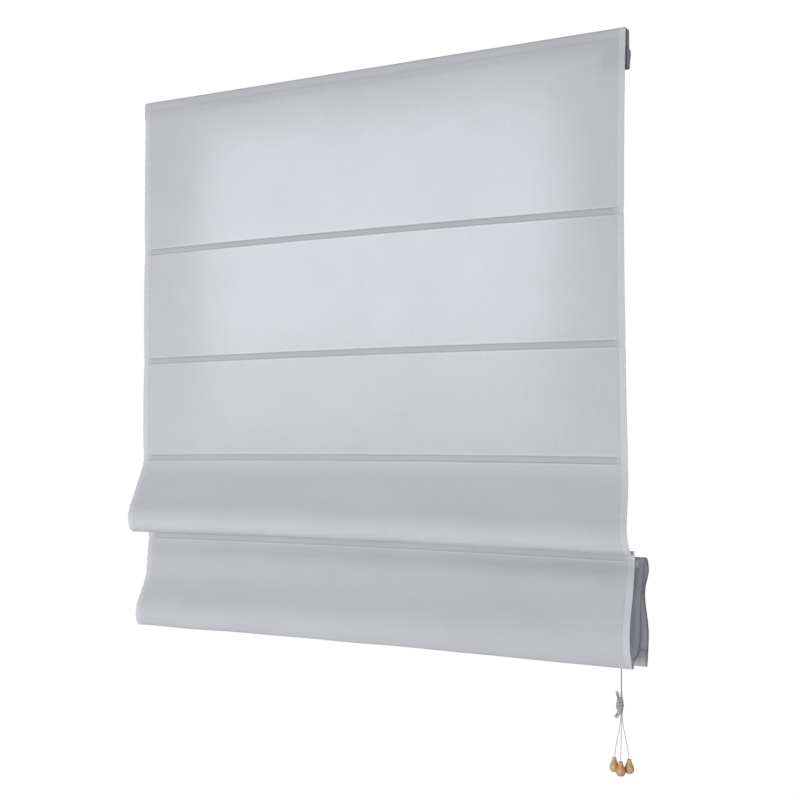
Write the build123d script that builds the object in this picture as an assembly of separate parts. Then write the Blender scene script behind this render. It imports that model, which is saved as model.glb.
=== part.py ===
from build123d import *
import math
import os

# Roman blind, hung from the ceiling of a window reveal and drawn part of the way up.
# Millimetres. +X to the right, -Y into the room, +Z up.
# The origin is on the mounting plane, midway between the two bracket screw holes.

os.makedirs("parts", exist_ok=True)

# ---- driving dimensions -------------------------------------------------------
blind_width = 1200.0          # cloth, side to side
cloth = 0.8                   # cloth with its lining
seat_gap = 0.3                # running clearance round soft and loose pieces

# headrail: an aluminium channel, open along its underside
rail_depth = 18.0
rail_height = 38.0
rail_wall = 1.2
rail_lip = 3.2
cap_thick = 2.0
rail_overhang = 5.0           # each end cap stands this far beyond the cloth

# ceiling brackets
bracket_thick = 1.5
bracket_wide = 24.0
bracket_spacing = 1000.0
bracket_front_lip = 5.0
bracket_rear_leg = 12.0
screw_hole_r = 2.25
screw_head_r = 4.2

# hook and loop tape that carries the cloth
tape_thick = 1.2
tape_height = 20.0
tape_drop = 8.0               # from the rail's top to the tape's top
tape_inset = 8.0              # from the cloth's side to the tape's end

# battens, their sewn pockets and the cord rings
batten_r = 3.0
batten_length = 1160.0
pocket_length = 1180.0
pocket_half_height = 7.5
ring_major = 4.5
ring_minor = 0.8
batten_drops = [365.0, 628.0, 859.0]   # battens 1 to 3, below the mounting plane
stack_drop = 1045.0           # batten 4, at the top of the folded stack
stack_ring_step = 17.0        # batten 6 hangs this far below batten 4
bottom_drop = 1252.0          # lowest fold
stack_shift = 20.0            # the folded stack hangs this far to the right
layer_shift = 7.0             # and each layer behind its front one hangs further
fold_belly = 97.0             # the loose fold's corner, before rounding, in front of the cloth
fold_reach = 166.0            # and its drop below batten 3
front_belly = 42.0            # the stack's front layer leans out this far at its foot

# bottom bar
bar_height = 20.0
bar_thick = 2.5
bar_length = 1150.0
bar_cap = 3.0

# cords
cord_r = 0.7
cord_pitch = 1.8              # the three cords lie side by side, front to back
cord_xs = {"left": -450.0, "centre": 0.0, "right": 450.0}
cord_run_drop = 20.0          # where the cords run inside the rail
stop_r = 4.2                  # bead under batten 6 that each lift cord is tied to

# cord guides
guide_length = 26.0
guide_floor = 5.0
guide_turn_r = 4.5            # radius of the cord's bend over the guide pin
guide_pin_hold = 1.5          # how far each end of the pin goes into the block

# cord lock
lock_left = 552.0
lock_height = 40.0            # below the rail
lock_depth_top = 28.0
lock_depth_bottom = 19.0
lock_turn_r = 6.0             # radius of the cord's bend over the pulley
lock_pin_r = 1.5
lock_pin_hold = 2.5
pulley_running = 0.05
roller_r = 4.0
roller_stub_r = 1.5
roller_drop = 24.0            # roller centre, below the rail
roller_travel = 5.0
roller_angle = 30.0           # slope of the roller's slot from the vertical

# pull cords, shortening knot and wooden acorns
pull_x = 572.0
pull_clear = 3.0              # the pull cords hang this far behind the folded stack
knot_top_drop = 1317.0
knot_bottom_drop = 1371.0
knot_end_r = 4.0
knot_mid_r = 7.0
acorn_height = 28.0
acorn_r = 9.5
acorn_top_r = 4.3
acorn_bore_r = 1.2
acorn_recess_r = 4.0
acorn_recess = 9.0
end_knot_r = 2.6
end_knot_height = 4.5
acorns = {                    # offset along X, offset along Y, drop of the top
    "left": (-16.0, 1.5, 1450.0),
    "middle": (2.0, -13.0, 1453.0),
    "right": (14.5, 2.5, 1450.0),
}

# ---- places worked out from them ------------------------------------------------
rail_top = -bracket_thick
rail_bottom = rail_top - rail_height
rail_front = -rail_depth / 2
rail_length = blind_width + 2 * (rail_overhang - cap_thick)
cloth_back = rail_front - 2 * tape_thick
cloth_y = cloth_back - cloth / 2
cloth_top = -0.5
pocket_turn_r = batten_r + seat_gap + cloth / 2
pocket_depth = batten_r * 2 + seat_gap * 2 + cloth
cord_y = cloth_back + pocket_depth + seat_gap + ring_major + ring_minor
cord_ys = {"left": cord_y - cord_pitch, "centre": cord_y, "right": cord_y + cord_pitch}
stack_back_y = 2 * cord_y - cloth_y    # cloth of batten 6, opposite batten 4
stack_z = -stack_drop
batten_6_z = stack_z - stack_ring_step
cord_run_z = -cord_run_drop
lock_bottom = rail_bottom - lock_height
back_top = (stack_back_y + 14.0, batten_6_z)
pull_back = back_top[0] + cloth / 2 + pull_clear + cord_r - cord_ys["left"]
knot_top = -knot_top_drop
knot_bottom = -knot_bottom_drop


def save(node, shape):
    shape.label = node
    export_step(shape, f"parts/{node}.step")
    print(f"{node}: {shape.volume:.0f} mm3")


def block(x0, x1, y0, y1, z0, z1):
    """A box between two corners."""
    centre = ((x0 + x1) / 2, (y0 + y1) / 2, (z0 + z1) / 2)
    return Pos(*centre) * Box(abs(x1 - x0), abs(y1 - y0), abs(z1 - z0))


def prism(outline, x0, x1):
    """A closed outline of (y, z) points, extruded along X."""
    face = make_face(Polyline(*outline, close=True))
    return Pos(x0, 0, 0) * extrude(Plane.YZ * face, amount=x1 - x0)


def rod(radius, length, centre, axis):
    """A cylinder with its middle at centre, along "X" or "Y"."""
    turn = Rot(0, 90, 0) if axis == "X" else Rot(90, 0, 0)
    return Pos(*centre) * turn * Cylinder(radius, length)


def sheet(node, points, radii, x_centre, width):
    """Cloth that follows (y, z) points with rounded corners, extruded along X."""
    path = FilletPolyline(*points, radius=radii)
    section = Plane.YZ * trace(path, cloth)
    print(f"{node}: cut {width:.0f} x {path.length:.1f} mm")
    return Pos(x_centre - width / 2, 0, 0) * extrude(section, amount=width)


def flat_sheet(node, z_top, z_bottom):
    print(f"{node}: cut {blind_width:.0f} x {z_top - z_bottom:.1f} mm")
    half = blind_width / 2
    return block(-half, half, cloth_back - cloth, cloth_back, z_bottom, z_top)


def corner_radius(before, corner, after):
    """The largest tangent arc at a corner of a cord's route."""
    run_in = Vector(*corner) - Vector(*before)
    run_out = Vector(*after) - Vector(*corner)
    half_turn = math.radians(run_in.get_angle(run_out) / 2)
    return 0.45 * min(run_in.length, run_out.length) / math.tan(half_turn)


def tube(node, points, radii):
    """A cord: straight runs joined by tangent arcs."""
    path = FilletPolyline(*points, radius=radii)
    section = Plane(path @ 0, z_dir=path % 0) * Circle(cord_r)
    solid = sweep(section, path=path)
    expected = math.pi * cord_r ** 2 * path.length
    radii_text = ", ".join(f"{r:.1f}" for r in radii)
    print(f"{node}: length {path.length:.1f}, radii {radii_text}, volume ratio {solid.volume / expected:.4f}")
    return solid


# ---- headrail, its caps and brackets ---------------------------------------------
def make_headrail():
    half = rail_length / 2
    inner_y = rail_depth / 2 - rail_wall
    slot_y = rail_depth / 2 - rail_lip
    rail = block(-half, half, rail_front, rail_depth / 2, rail_bottom, rail_top)
    rail -= block(-half, half, -inner_y, inner_y, rail_bottom + rail_wall, rail_top - rail_wall)
    rail -= block(-half, half, -slot_y, slot_y, rail_bottom, rail_bottom + rail_wall)
    # the lips are cut away where the cord lock stands in the channel
    rail -= block(lock_left - 1, half, -inner_y, inner_y, rail_bottom, rail_bottom + rail_wall)
    return rail


def make_end_cap(side):
    """A plate over the rail's end with a plug inside the channel."""
    inner = side * rail_length / 2
    outer = inner + side * cap_thick
    plug_end = inner - side * 8
    plug_y = rail_depth / 2 - rail_wall - 0.1
    plug_top = rail_top - rail_wall - 0.1
    plug_low = plug_top - 8
    cap = block(inner, outer, rail_front, rail_depth / 2, rail_bottom, rail_top)
    rim = cap.faces().filter_by(Axis.X).sort_by(Axis.X)[-1 if side > 0 else 0]
    cap = fillet(rim.edges(), 0.8)
    return cap + block(plug_end, inner, -plug_y, plug_y, plug_low, plug_top)


def make_bracket(x):
    """A steel strip over the rail, with a front lip and a longer rear leg."""
    x0 = x - bracket_wide / 2
    x1 = x + bracket_wide / 2
    front = rail_front - bracket_thick
    rear = rail_depth / 2 + bracket_thick
    clip = block(x0, x1, front, rear, rail_top, 0)
    clip += block(x0, x1, front, rail_front, rail_top - bracket_front_lip, 0)
    clip += block(x0, x1, rail_depth / 2, rear, rail_top - bracket_rear_leg, 0)
    folds = clip.edges().filter_by(Axis.X).group_by(Axis.Z)[-1]
    clip = fillet(folds, bracket_thick * 0.8)
    hole_depth = bracket_thick
    clip -= Pos(x, 0, -hole_depth / 2) * Cylinder(screw_hole_r, hole_depth)
    sink = Cone(screw_head_r, screw_hole_r, 1.0)
    return clip - Pos(x, 0, rail_top + 0.5) * sink


def make_tape(front, back):
    z_top = rail_top - tape_drop
    x = blind_width / 2 - tape_inset
    return block(-x, x, front, back, z_top - tape_height, z_top)


# ---- cord guides --------------------------------------------------------------------
def guide_pin_centre(x):
    return (x + guide_turn_r, cord_y, cord_run_z - guide_turn_r)


def channel_half_width():
    """Half the width that the three cords need, front to back."""
    return cord_pitch + cord_r + 0.7


def pin_length(hold):
    """Across the cords' way and hold into each wall, or less in a shallow rail."""
    inside = rail_depth / 2 - rail_wall - 0.2
    return 2 * min(channel_half_width() + hold, inside - abs(cord_y))


def make_guide(side):
    """A moulded block in the rail, open at the top, with a floor bored for one cord."""
    x = cord_xs[side]
    body_y = rail_depth / 2 - rail_wall - 0.2
    floor_low = rail_bottom + rail_wall
    floor_top = floor_low + guide_floor
    x0 = x - guide_length / 2 + guide_turn_r
    x1 = x0 + guide_length
    top = cord_run_z + 6
    half = channel_half_width()
    guide = block(x0, x1, -body_y, body_y, floor_low, top)
    guide -= block(x0, x1, cord_y - half, cord_y + half, floor_top, top)
    bore = Cylinder(cord_r + 0.6, guide_floor)
    guide -= Pos(x, cord_ys[side], (floor_low + floor_top) / 2) * bore
    pin_x, pin_y, pin_z = guide_pin_centre(x)
    pin_r = guide_turn_r - cord_r - seat_gap
    return guide - rod(pin_r, pin_length(guide_pin_hold), (pin_x, pin_y, pin_z), "Y")


def make_guide_pin(side):
    pin_r = guide_turn_r - cord_r - seat_gap
    return rod(pin_r, pin_length(guide_pin_hold), guide_pin_centre(cord_xs[side]), "Y")


# ---- cord lock ------------------------------------------------------------------------
lock_right = rail_length / 2 + cap_thick
pulley_centre = (pull_x - lock_turn_r, cord_y, cord_run_z - lock_turn_r)
pulley_r = lock_turn_r - cord_r - seat_gap
roller_centre = (pull_x + cord_r + seat_gap + roller_r, cord_y, rail_bottom - roller_drop)
roller_way = (math.sin(math.radians(roller_angle)), -math.cos(math.radians(roller_angle)))
lock_rear = rail_front + lock_depth_top
lock_rear_low = rail_front + lock_depth_bottom


def along_roller_way(distance):
    x = roller_centre[0] + roller_way[0] * distance
    z = roller_centre[2] + roller_way[1] * distance
    return (x, cord_y, z)


def capsule_y(radius, length, distance):
    """The space that a cylinder along Y sweeps as the roller slides."""
    start = along_roller_way(0)
    end = along_roller_way(distance)
    middle = along_roller_way(distance / 2)
    space = rod(radius, length, start, "Y") + rod(radius, length, end, "Y")
    bridge = Rot(0, -roller_angle, 0) * Box(2 * radius, length, distance)
    return space + Pos(*middle) * bridge


def make_lock_body():
    half = channel_half_width()
    inner_y = rail_depth / 2 - rail_wall - 0.2
    insert_top = cord_run_z + 4
    insert = block(lock_left, rail_length / 2 - 8.5, -inner_y, inner_y, rail_bottom, insert_top)
    outline = [
        (rail_front, rail_bottom),
        (lock_rear - 3, rail_bottom),
        (lock_rear, rail_bottom - 4),
        (lock_rear_low, lock_bottom),
        (rail_front, lock_bottom),
    ]
    body = insert + prism(outline, lock_left, lock_right)
    # the cords' way: in from the left, over the pulley and down
    low = pulley_centre[2] - pulley_r - 1
    body -= block(lock_left, pull_x + 3, cord_y - half, cord_y + half, low, insert_top)
    body -= block(pull_x - 2, pull_x + 3, cord_y - half, cord_y + half, lock_bottom, insert_top)
    # the roller's chamber, its slanted slots and the pulley pin's hole
    body -= capsule_y(roller_r + 0.5, 2 * half, roller_travel)
    body -= capsule_y(roller_stub_r + 0.05, 2 * half + 5, roller_travel)
    return body - rod(lock_pin_r, pin_length(lock_pin_hold), pulley_centre, "Y")


def make_lock_pulley():
    length = 2 * channel_half_width() - 0.6
    wheel = rod(pulley_r, length, pulley_centre, "Y")
    return wheel - rod(lock_pin_r + pulley_running, length, pulley_centre, "Y")


def make_lock_pin():
    return rod(lock_pin_r, pin_length(lock_pin_hold), pulley_centre, "Y")


def make_lock_roller():
    length = 2 * channel_half_width()
    roller = rod(roller_r, length - 0.6, roller_centre, "Y")
    return roller + rod(roller_stub_r, length + 4.4, roller_centre, "Y")


# ---- battens, pockets and rings -----------------------------------------------------
def pocket_tip():
    """How far a pocket's two slopes would meet behind the cloth."""
    reach = batten_r + seat_gap
    tip = reach
    for _ in range(60):
        slope = math.hypot(tip - cloth / 2, pocket_half_height)
        tip = reach + pocket_turn_r * slope / pocket_half_height
    return tip


def make_batten(x_centre, y, z):
    return rod(batten_r, batten_length, (x_centre, y, z), "X")


def make_pocket(x_centre, surface_y, z, way):
    """A strip sewn to the cloth's back, wrapped round its batten. way is +1 or -1 along Y."""
    near = surface_y + way * cloth / 2
    far = surface_y + way * pocket_tip()
    top = z + pocket_half_height
    low = z - pocket_half_height
    path = FilletPolyline((near, top), (far, z), (near, low), radius=pocket_turn_r)
    strip = extrude(Plane.YZ * trace(path, cloth), amount=pocket_length)
    strip = Pos(x_centre - pocket_length / 2, 0, 0) * strip
    # trimmed flat where it lies on the cloth
    x = pocket_length
    beyond = surface_y - way * 5
    return strip - block(x_centre - x, x_centre + x, beyond, surface_y, low - 5, top + 5)


def make_rings(z):
    rings = [Pos(x, cord_y, z) * Torus(ring_major, ring_minor) for x in cord_xs.values()]
    return Compound(children=rings)


# ---- cloth --------------------------------------------------------------------------
belly_y = cloth_y - fold_belly
front_low_y = cloth_y - front_belly
crook = 2 * pocket_turn_r + 0.2
fold_z = -bottom_drop + cloth / 2
return_low = (front_low_y + crook, -bottom_drop + 24.0)
hem_y = 20.0
hem_turn = bar_thick + 2 * seat_gap + cloth
hem_bend = 1.9
back_x = stack_shift + 2 * layer_shift


def make_fold_panel():
    z3 = -batten_drops[2]
    points = [(cloth_y, z3), (cloth_y, z3 - 48), (belly_y, z3 - fold_reach), (cloth_y, stack_z)]
    return sheet("fabric_fold", points, [100.0, 26.0], stack_shift / 2, blind_width)


def make_front_layer():
    points = [
        (cloth_y, stack_z - cloth),
        (cloth_y - 6, stack_z - 70),
        (front_low_y + 2, stack_z - 150),
        (front_low_y, fold_z),
        (front_low_y + crook, fold_z),
        return_low,
    ]
    radii = [110.0, 110.0, pocket_turn_r, pocket_turn_r]
    return sheet("fabric_front_layer", points, radii, stack_shift, blind_width)


def make_return_layer():
    top = batten_6_z + 15
    points = [
        return_low,
        (return_low[0], return_low[1] + 14),
        (return_low[0] + 6, stack_z - 135),
        (stack_back_y, batten_6_z - 31),
        (stack_back_y, top),
        (back_top[0], top),
        back_top,
    ]
    radii = [100.0, 60.0, 40.0, 5.0, 5.0]
    return sheet("fabric_return_layer", points, radii, stack_shift + layer_shift, blind_width)


def make_back_layer():
    points = [
        back_top,
        (back_top[0], batten_6_z - 9),
        (stack_back_y + 1, batten_6_z - 42),
        (hem_y + 7, stack_z - 130),
        (hem_y, fold_z + bar_height + 16),
        (hem_y, fold_z),
        (hem_y - hem_turn, fold_z),
        (hem_y - hem_turn, fold_z + bar_height + 6),
    ]
    radii = [30.0, 40.0, 90.0, 60.0, hem_bend, hem_bend]
    return sheet("fabric_back_layer", points, radii, back_x, blind_width)


# ---- cords, knot and acorns ---------------------------------------------------------
def make_lift_cord(side):
    """From the bead under batten 6, up through the rings, along the rail and down the lock."""
    x = cord_xs[side]
    y = cord_ys[side]
    low = batten_6_z - ring_minor - 2 * stop_r
    points = [(x, y, low), (x, y, cord_run_z), (pull_x, y, cord_run_z), (pull_x, y, lock_bottom)]
    return tube(f"lift_cord_{side}", points, [guide_turn_r, lock_turn_r])


def make_stops():
    stops = []
    for side, x in cord_xs.items():
        z = batten_6_z - ring_minor - stop_r
        bead = Sphere(stop_r) - Cylinder(cord_r + 0.2, 2 * stop_r)
        stops.append(Pos(x, cord_ys[side], z) * bead)
    return Compound(children=stops)


def make_pull_cord(side):
    y = cord_ys[side]
    start = (pull_x, y, lock_bottom)
    lean = (pull_x, y, lock_bottom - 20)
    stack_edge = (pull_x, y + pull_back, stack_z + 20)
    end = (pull_x, y + pull_back, knot_top)
    radii = [corner_radius(start, lean, stack_edge), corner_radius(lean, stack_edge, end)]
    return tube(f"pull_cord_{side}", [start, lean, stack_edge, end], radii)


def make_knot():
    """The outer shape of the shortening knot that gathers the three cords."""
    middle = (knot_top + knot_bottom) / 2
    outline = Line((0, knot_bottom), (knot_end_r, knot_bottom))
    outline += ThreePointArc((knot_end_r, knot_bottom), (knot_mid_r, middle), (knot_end_r, knot_top))
    outline += Line((knot_end_r, knot_top), (0, knot_top))
    outline += Line((0, knot_top), (0, knot_bottom))
    face = Plane.XZ * make_face(outline)
    return Pos(pull_x, cord_y + pull_back, 0) * revolve(face, Axis.Z)


def acorn_place(side):
    dx, dy, drop = acorns[side]
    return pull_x + dx, cord_y + pull_back + dy, -drop


def make_tail(side, start_shift):
    """From the knot down into the bore of one acorn."""
    x, y, top = acorn_place(side)
    start = (pull_x + start_shift, cord_y + pull_back, knot_bottom)
    fan = (start[0], start[1], knot_bottom - 10)
    corner = (x, y, top + 9)
    end = (x, y, top - acorn_height + acorn_recess)
    radii = [corner_radius(start, fan, corner), corner_radius(fan, corner, end)]
    return tube(f"pull_tail_{side}", [start, fan, corner, end], radii)


def make_acorn(side):
    """A turned wooden acorn, bored through, with a recess for the cord's end knot."""
    x, y, top = acorn_place(side)
    low = top - acorn_height
    outline = Spline(
        (acorn_top_r, top - 0.6),
        (acorn_top_r * 1.1, top - acorn_height * 0.18),
        (acorn_r * 0.78, top - acorn_height * 0.40),
        (acorn_r, top - acorn_height * 0.68),
        (acorn_r * 0.86, top - acorn_height * 0.88),
        (acorn_r * 0.55, low),
    )
    outline += Polyline((acorn_r * 0.55, low), (0, low), (0, top), (acorn_top_r - 0.6, top), (acorn_top_r, top - 0.6))
    solid = revolve(Plane.XZ * make_face(outline), Axis.Z)
    solid -= Pos(0, 0, (top + low) / 2) * Cylinder(acorn_bore_r, acorn_height)
    solid -= Pos(0, 0, low + acorn_recess / 2) * Cylinder(acorn_recess_r, acorn_recess)
    return Pos(x, y, 0) * solid


def make_end_knots():
    knots = []
    for side in acorns:
        x, y, top = acorn_place(side)
        z = top - acorn_height + acorn_recess - end_knot_height / 2
        knot = Cylinder(end_knot_r, end_knot_height)
        knots.append(Pos(x, y, z) * fillet(knot.edges().filter_by(GeomType.CIRCLE), 1.2))
    return Compound(children=knots)


# ---- the whole blind ----------------------------------------------------------------
save("headrail", make_headrail())
save("end_cap_left", make_end_cap(-1))
save("end_cap_right", make_end_cap(1))
save("bracket_left", make_bracket(-bracket_spacing / 2))
save("bracket_right", make_bracket(bracket_spacing / 2))
save("hook_tape", make_tape(rail_front - tape_thick, rail_front))
save("loop_tape", make_tape(cloth_back, rail_front - tape_thick))

for side in cord_xs:
    save(f"cord_guide_{side}", make_guide(side))
    save(f"lift_cord_{side}", make_lift_cord(side))
    save(f"pull_cord_{side}", make_pull_cord(side))
save("guide_pins", Compound(children=[make_guide_pin(side) for side in cord_xs]))

save("lock_body", make_lock_body())
save("lock_pulley", make_lock_pulley())
save("lock_pin", make_lock_pin())
save("lock_roller", make_lock_roller())

panel_ends = [cloth_top] + [-drop for drop in batten_drops]
for number in range(1, 4):
    node = f"fabric_panel_{number}"
    save(node, flat_sheet(node, panel_ends[number - 1], panel_ends[number]))
save("fabric_fold", make_fold_panel())
save("fabric_front_layer", make_front_layer())
save("fabric_return_layer", make_return_layer())
save("fabric_back_layer", make_back_layer())

# battens 1 to 4 hang in pockets behind the cloth, batten 6 in one that faces them
rod_offset = seat_gap + batten_r
hung = [(1, 0, -batten_drops[0]), (2, 0, -batten_drops[1]), (3, 0, -batten_drops[2]), (4, stack_shift, stack_z)]
for number, x, z in hung:
    save(f"batten_{number}", make_batten(x, cloth_back + rod_offset, z))
    save(f"batten_pocket_{number}", make_pocket(x, cloth_back, z, 1))
    save(f"cord_rings_{number}", make_rings(z))
save("batten_5", make_batten(stack_shift, front_low_y + crook / 2, fold_z + cloth / 2 + rod_offset))
stack_face = stack_back_y - cloth / 2
return_x = stack_shift + layer_shift
save("batten_6", make_batten(return_x, stack_face - rod_offset, batten_6_z))
save("batten_pocket_6", make_pocket(return_x, stack_face, batten_6_z, -1))
save("cord_rings_6", make_rings(batten_6_z))
save("cord_stops", make_stops())

bar_low = fold_z + hem_bend
bar_front = hem_y - hem_turn / 2 - bar_thick / 2
bar_left = back_x - bar_length / 2
bar_right = back_x + bar_length / 2
save("bottom_bar", block(bar_left, bar_right, bar_front, bar_front + bar_thick, bar_low, bar_low + bar_height))
bar_caps = []
for x0, x1 in ((bar_left - bar_cap, bar_left), (bar_right, bar_right + bar_cap)):
    bar_caps.append(block(x0, x1, bar_front, bar_front + bar_thick, bar_low, bar_low + bar_height))
save("bottom_bar_caps", Compound(children=bar_caps))

save("cord_knot", make_knot())
for side, start_shift in (("left", -cord_pitch), ("middle", 0.0), ("right", cord_pitch)):
    save(f"pull_tail_{side}", make_tail(side, start_shift))
    save(f"acorn_{side}", make_acorn(side))
save("acorn_end_knots", make_end_knots())
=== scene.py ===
import math

import bmesh
import bpy
import numpy as np
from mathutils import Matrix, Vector


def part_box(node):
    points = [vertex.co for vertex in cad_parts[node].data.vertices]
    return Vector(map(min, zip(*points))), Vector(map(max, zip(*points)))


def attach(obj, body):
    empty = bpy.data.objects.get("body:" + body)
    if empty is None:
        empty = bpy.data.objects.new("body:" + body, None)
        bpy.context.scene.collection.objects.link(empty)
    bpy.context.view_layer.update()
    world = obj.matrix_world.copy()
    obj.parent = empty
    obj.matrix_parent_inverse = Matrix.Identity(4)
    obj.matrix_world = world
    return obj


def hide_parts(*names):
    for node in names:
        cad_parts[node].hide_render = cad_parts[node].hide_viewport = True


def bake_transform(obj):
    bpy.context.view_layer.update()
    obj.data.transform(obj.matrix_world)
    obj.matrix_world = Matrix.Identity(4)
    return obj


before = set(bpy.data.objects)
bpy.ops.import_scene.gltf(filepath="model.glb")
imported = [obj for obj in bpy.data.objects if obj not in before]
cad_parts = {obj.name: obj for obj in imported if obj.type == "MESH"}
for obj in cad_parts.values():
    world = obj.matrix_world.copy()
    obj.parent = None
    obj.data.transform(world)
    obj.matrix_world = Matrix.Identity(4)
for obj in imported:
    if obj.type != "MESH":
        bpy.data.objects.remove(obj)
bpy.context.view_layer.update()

# ---- places taken from the CAD parts in model.glb ------------
MM = 0.001
CLOTH_LOW, CLOTH_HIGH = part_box("fabric_panel_1")
CLOTH_FRONT = CLOTH_LOW.y
CLOTH_BACK = CLOTH_HIGH.y
CLOTH_THICK = CLOTH_BACK - CLOTH_FRONT
CLOTH_TOP = CLOTH_HIGH.z
HALF_WIDTH = CLOTH_HIGH.x
BATTEN_Z = {n: (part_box(f"batten_{n}")[0].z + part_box(f"batten_{n}")[1].z) / 2 for n in range(1, 7)}
BATTEN_R = (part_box("batten_1")[1].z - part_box("batten_1")[0].z) / 2
LOCK_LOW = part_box("lock_body")[0].z
SIDES = ("left", "centre", "right")
TAILS = ("left", "middle", "right")


def middle(node):
    low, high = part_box(node)
    return (low + high) / 2


# ---- camera --------------------------------------------------
CAMERA_LENS = 56.57
CAMERA_PLACE = (1.3648, CLOTH_FRONT - 2.3838, CLOTH_TOP - 0.8234)
CAMERA_TURN = (91.96, 0.0, 27.98)        # degrees


def make_camera():
    data = bpy.data.cameras.new("camera")
    data.sensor_width = 36.0
    data.lens = CAMERA_LENS
    camera = bpy.data.objects.new("camera", data)
    camera.location = CAMERA_PLACE
    camera.rotation_euler = [math.radians(angle) for angle in CAMERA_TURN]
    bpy.context.scene.collection.objects.link(camera)
    bpy.context.scene.camera = camera


make_camera()


# ---- small mesh helpers --------------------------------------
def mesh_object(name, vertices, faces, smooth=True):
    mesh = bpy.data.meshes.new(name)
    mesh.from_pydata([tuple(v) for v in vertices], [], faces)
    mesh.validate()
    mesh.update()
    if smooth:
        mesh.polygons.foreach_set("use_smooth", [True] * len(mesh.polygons))
    obj = bpy.data.objects.new(name, mesh)
    bpy.context.scene.collection.objects.link(obj)
    return obj


def float_vectors(obj, name, values):
    attribute = obj.data.attributes.new(name, "FLOAT_VECTOR", "POINT")
    attribute.data.foreach_set("vector", np.asarray(values, np.float32).ravel())


def smoothstep(low, high, x):
    t = np.clip((np.asarray(x, float) - low) / (high - low), 0, 1)
    return t * t * (3 - 2 * t)


def distances(line):
    """How far each point of a line is along it."""
    steps = np.linalg.norm(np.diff(np.array(line), axis=0), axis=1)
    return np.concatenate([[0], np.cumsum(steps)])


def flatten_ends(obj):
    """Flat shading on a tube's end faces, which have more than four corners."""
    for face in obj.data.polygons:
        if len(face.vertices) > 4:
            face.use_smooth = False


def nurbs_points(points, resolution=12):
    """The points of a smooth NURBS line with these control points."""
    curve = bpy.data.curves.new("route", "CURVE")
    curve.dimensions = "3D"
    curve.resolution_u = resolution
    spline = curve.splines.new("NURBS")
    spline.points.add(len(points) - 1)
    for control, point in zip(spline.points, points):
        control.co = (*point, 1.0)
    spline.order_u = 3
    spline.use_endpoint_u = True
    holder = bpy.data.objects.new("route", curve)
    bpy.context.scene.collection.objects.link(holder)
    mesh = bpy.data.meshes.new_from_object(holder)
    line = [tuple(v.co) for v in mesh.vertices]
    bpy.data.objects.remove(holder)
    bpy.data.curves.remove(curve)
    bpy.data.meshes.remove(mesh)
    return line


def densify(line, step):
    """The same line with points no further apart than step."""
    out = [np.array(line[0], float)]
    for a, b in zip(line[:-1], line[1:]):
        a, b = np.array(a, float), np.array(b, float)
        count = max(1, math.ceil(np.linalg.norm(b - a) / step))
        out += [a + (b - a) * k / count for k in range(1, count + 1)]
    return out


def tube_geometry(line, radius, sides=10):
    """Vertices and faces of a closed round tube along a line."""
    line = [np.array(p, float) for p in line]
    radii = np.broadcast_to(radius, len(line))
    tangents = []
    for k in range(len(line)):
        t = line[min(k + 1, len(line) - 1)] - line[max(k - 1, 0)]
        tangents.append(t / np.linalg.norm(t))
    side = np.cross(tangents[0], (0.3, 1.0, 0.2))
    side /= np.linalg.norm(side)
    vertices, faces = [], []
    for k, (p, t) in enumerate(zip(line, tangents)):
        side = side - t * np.dot(side, t)
        side /= np.linalg.norm(side)
        up = np.cross(t, side)
        for j in range(sides):
            a = 2 * math.pi * j / sides
            vertices.append(p + radii[k] * (math.cos(a) * side + math.sin(a) * up))
        if k:
            low = (k - 1) * sides
            for j in range(sides):
                n = (j + 1) % sides
                faces.append((low + j, low + n, low + sides + n, low + sides + j))
    faces.append(tuple(reversed(range(sides))))
    last = (len(line) - 1) * sides
    faces.append(tuple(range(last, last + sides)))
    return vertices, faces


def join_geometry(parts):
    vertices, faces = [], []
    for v, f in parts:
        base = len(vertices)
        vertices += list(v)
        faces += [tuple(i + base for i in face) for face in f]
    return vertices, faces


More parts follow.
